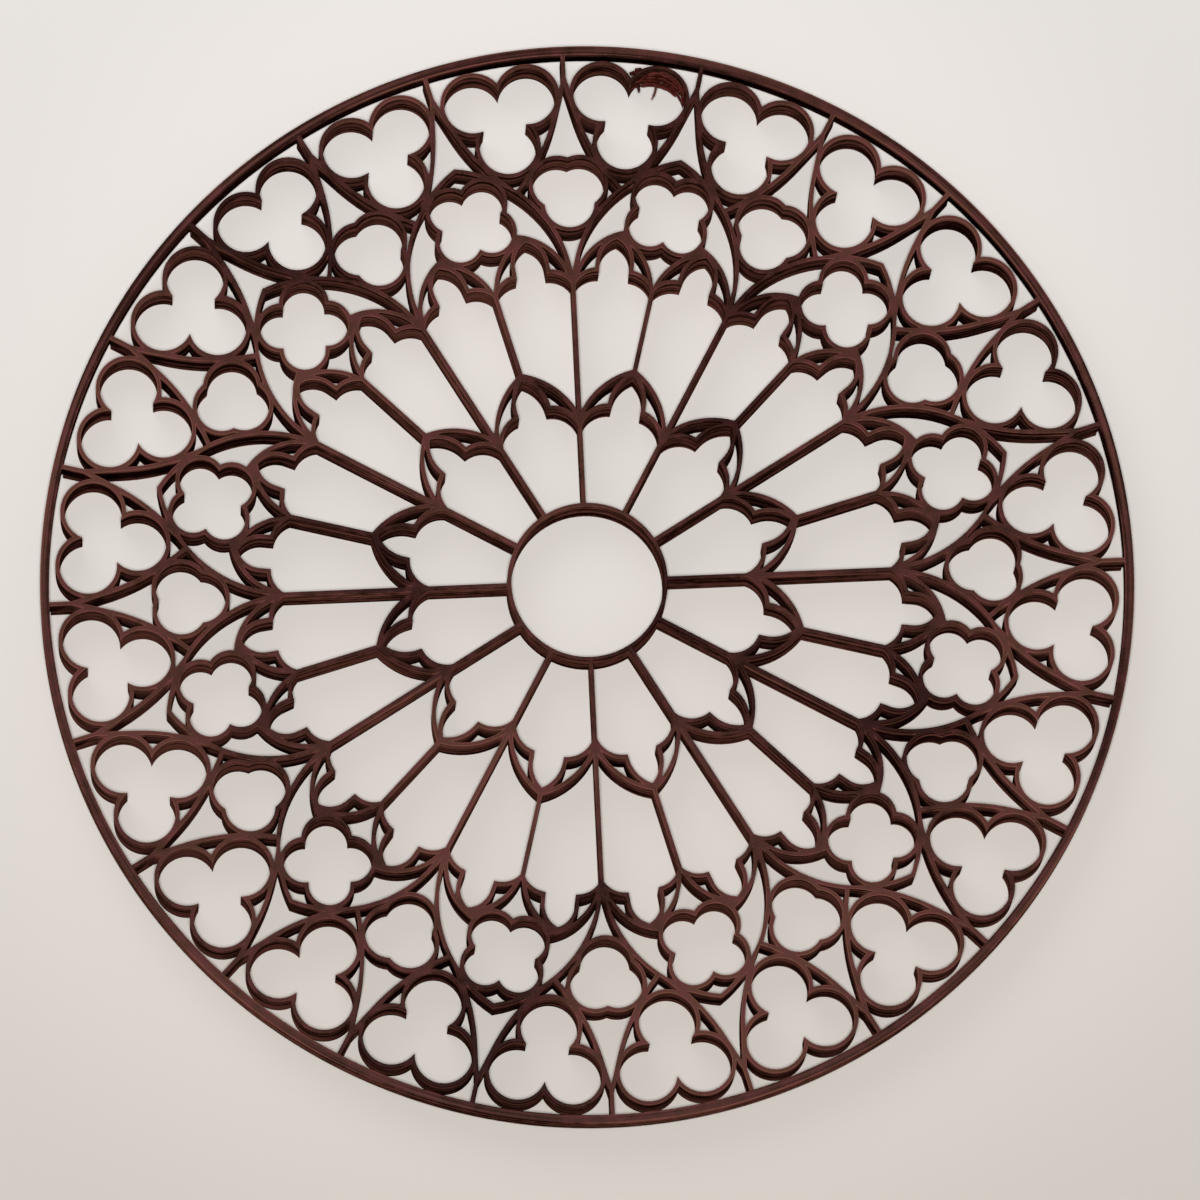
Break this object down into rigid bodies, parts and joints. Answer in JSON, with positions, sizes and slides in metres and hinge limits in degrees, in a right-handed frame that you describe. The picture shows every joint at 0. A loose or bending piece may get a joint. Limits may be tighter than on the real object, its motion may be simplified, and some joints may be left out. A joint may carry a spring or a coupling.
{
  "type": "rose window tracery panel",
  "caption": "Round Gothic rose window tracery: a thin-walled pierced panel of pointed lights, trefoils and quatrefoils between a hub ring and a slim rim, lying flat.",
  "frame": {"origin": "on the panel's axis, at the level of its underside", "axes": "+Z is the panel's axis and points away from the surface it lies on; a main spoke runs along +Y"},
  "size_m": [0.2, 0.2, 0.01],
  "materials": {
    "tracery_panel": "dark red-brown printed plastic with fine layer lines, satin"
  },
  "bodies": {
    "root": {"tracery_panel": "tracery_panel"}
  },
  "joints": []
}
